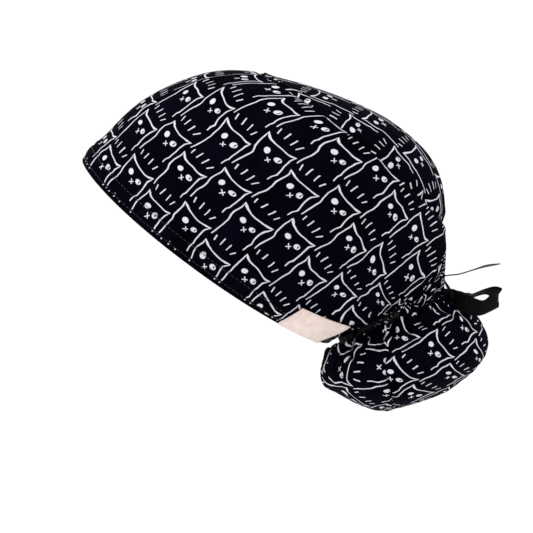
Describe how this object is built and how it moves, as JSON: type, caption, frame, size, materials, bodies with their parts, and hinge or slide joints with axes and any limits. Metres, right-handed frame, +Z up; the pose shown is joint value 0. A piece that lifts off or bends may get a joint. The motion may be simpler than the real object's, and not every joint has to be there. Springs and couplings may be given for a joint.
{
  "type": "surgical scrub cap",
  "caption": "Soft cotton surgical scrub cap with an oval crown, a stitched hem round the head opening and a gathered ponytail pouch tied with ribbon at the nape.",
  "frame": {"origin": "the inside of the top of the cap, where it rests on the top of the head", "axes": "+X towards the wearer's left, +Y towards the back of the head, +Z up as the cap is worn"},
  "size_m": [0.16, 0.2532, 0.2047],
  "materials": {
    "printed_cotton": "black woven cotton with a pale line print",
    "ribbon": "black woven ribbon",
    "label_tape": "pale woven tape, bare"
  },
  "bodies": {
    "root": {"wrap_panel": "printed_cotton", "crown_panel": "printed_cotton", "hem_casing": "printed_cotton", "woven_label": "label_tape", "pouch_front": "printed_cotton", "pouch_back_left": "printed_cotton", "pouch_back_right": "printed_cotton", "ribbon_band": "ribbon", "ribbon_knot": "ribbon", "ribbon_loop_left": "ribbon", "ribbon_loop_right": "ribbon", "ribbon_tail_left": "ribbon", "ribbon_tail_right": "ribbon"}
  },
  "joints": []
}
